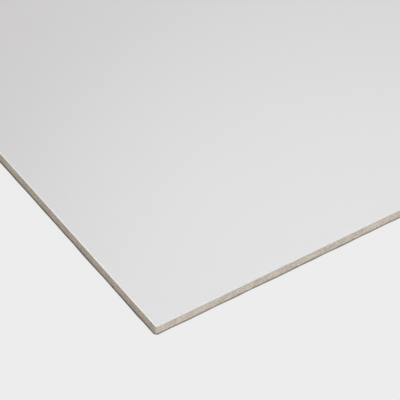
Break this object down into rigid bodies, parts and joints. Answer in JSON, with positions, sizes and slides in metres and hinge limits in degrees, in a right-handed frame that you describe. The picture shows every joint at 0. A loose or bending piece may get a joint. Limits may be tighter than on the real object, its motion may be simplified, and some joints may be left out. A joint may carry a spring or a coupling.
{
  "type": "hardboard sheet",
  "caption": "Full sheet of thin hardboard with a smooth white painted face, a plain brown screen-marked back and square sawn edges, lying flat.",
  "frame": {"origin": "middle of the back face, the face that it rests on", "axes": "+X along the length, +Y across the width, +Z out of the white face"},
  "size_m": [2.44, 1.22, 0.003],
  "materials": {
    "hardboard": "satin"
  },
  "bodies": {
    "root": {"hardboard_sheet": "hardboard"}
  },
  "joints": []
}
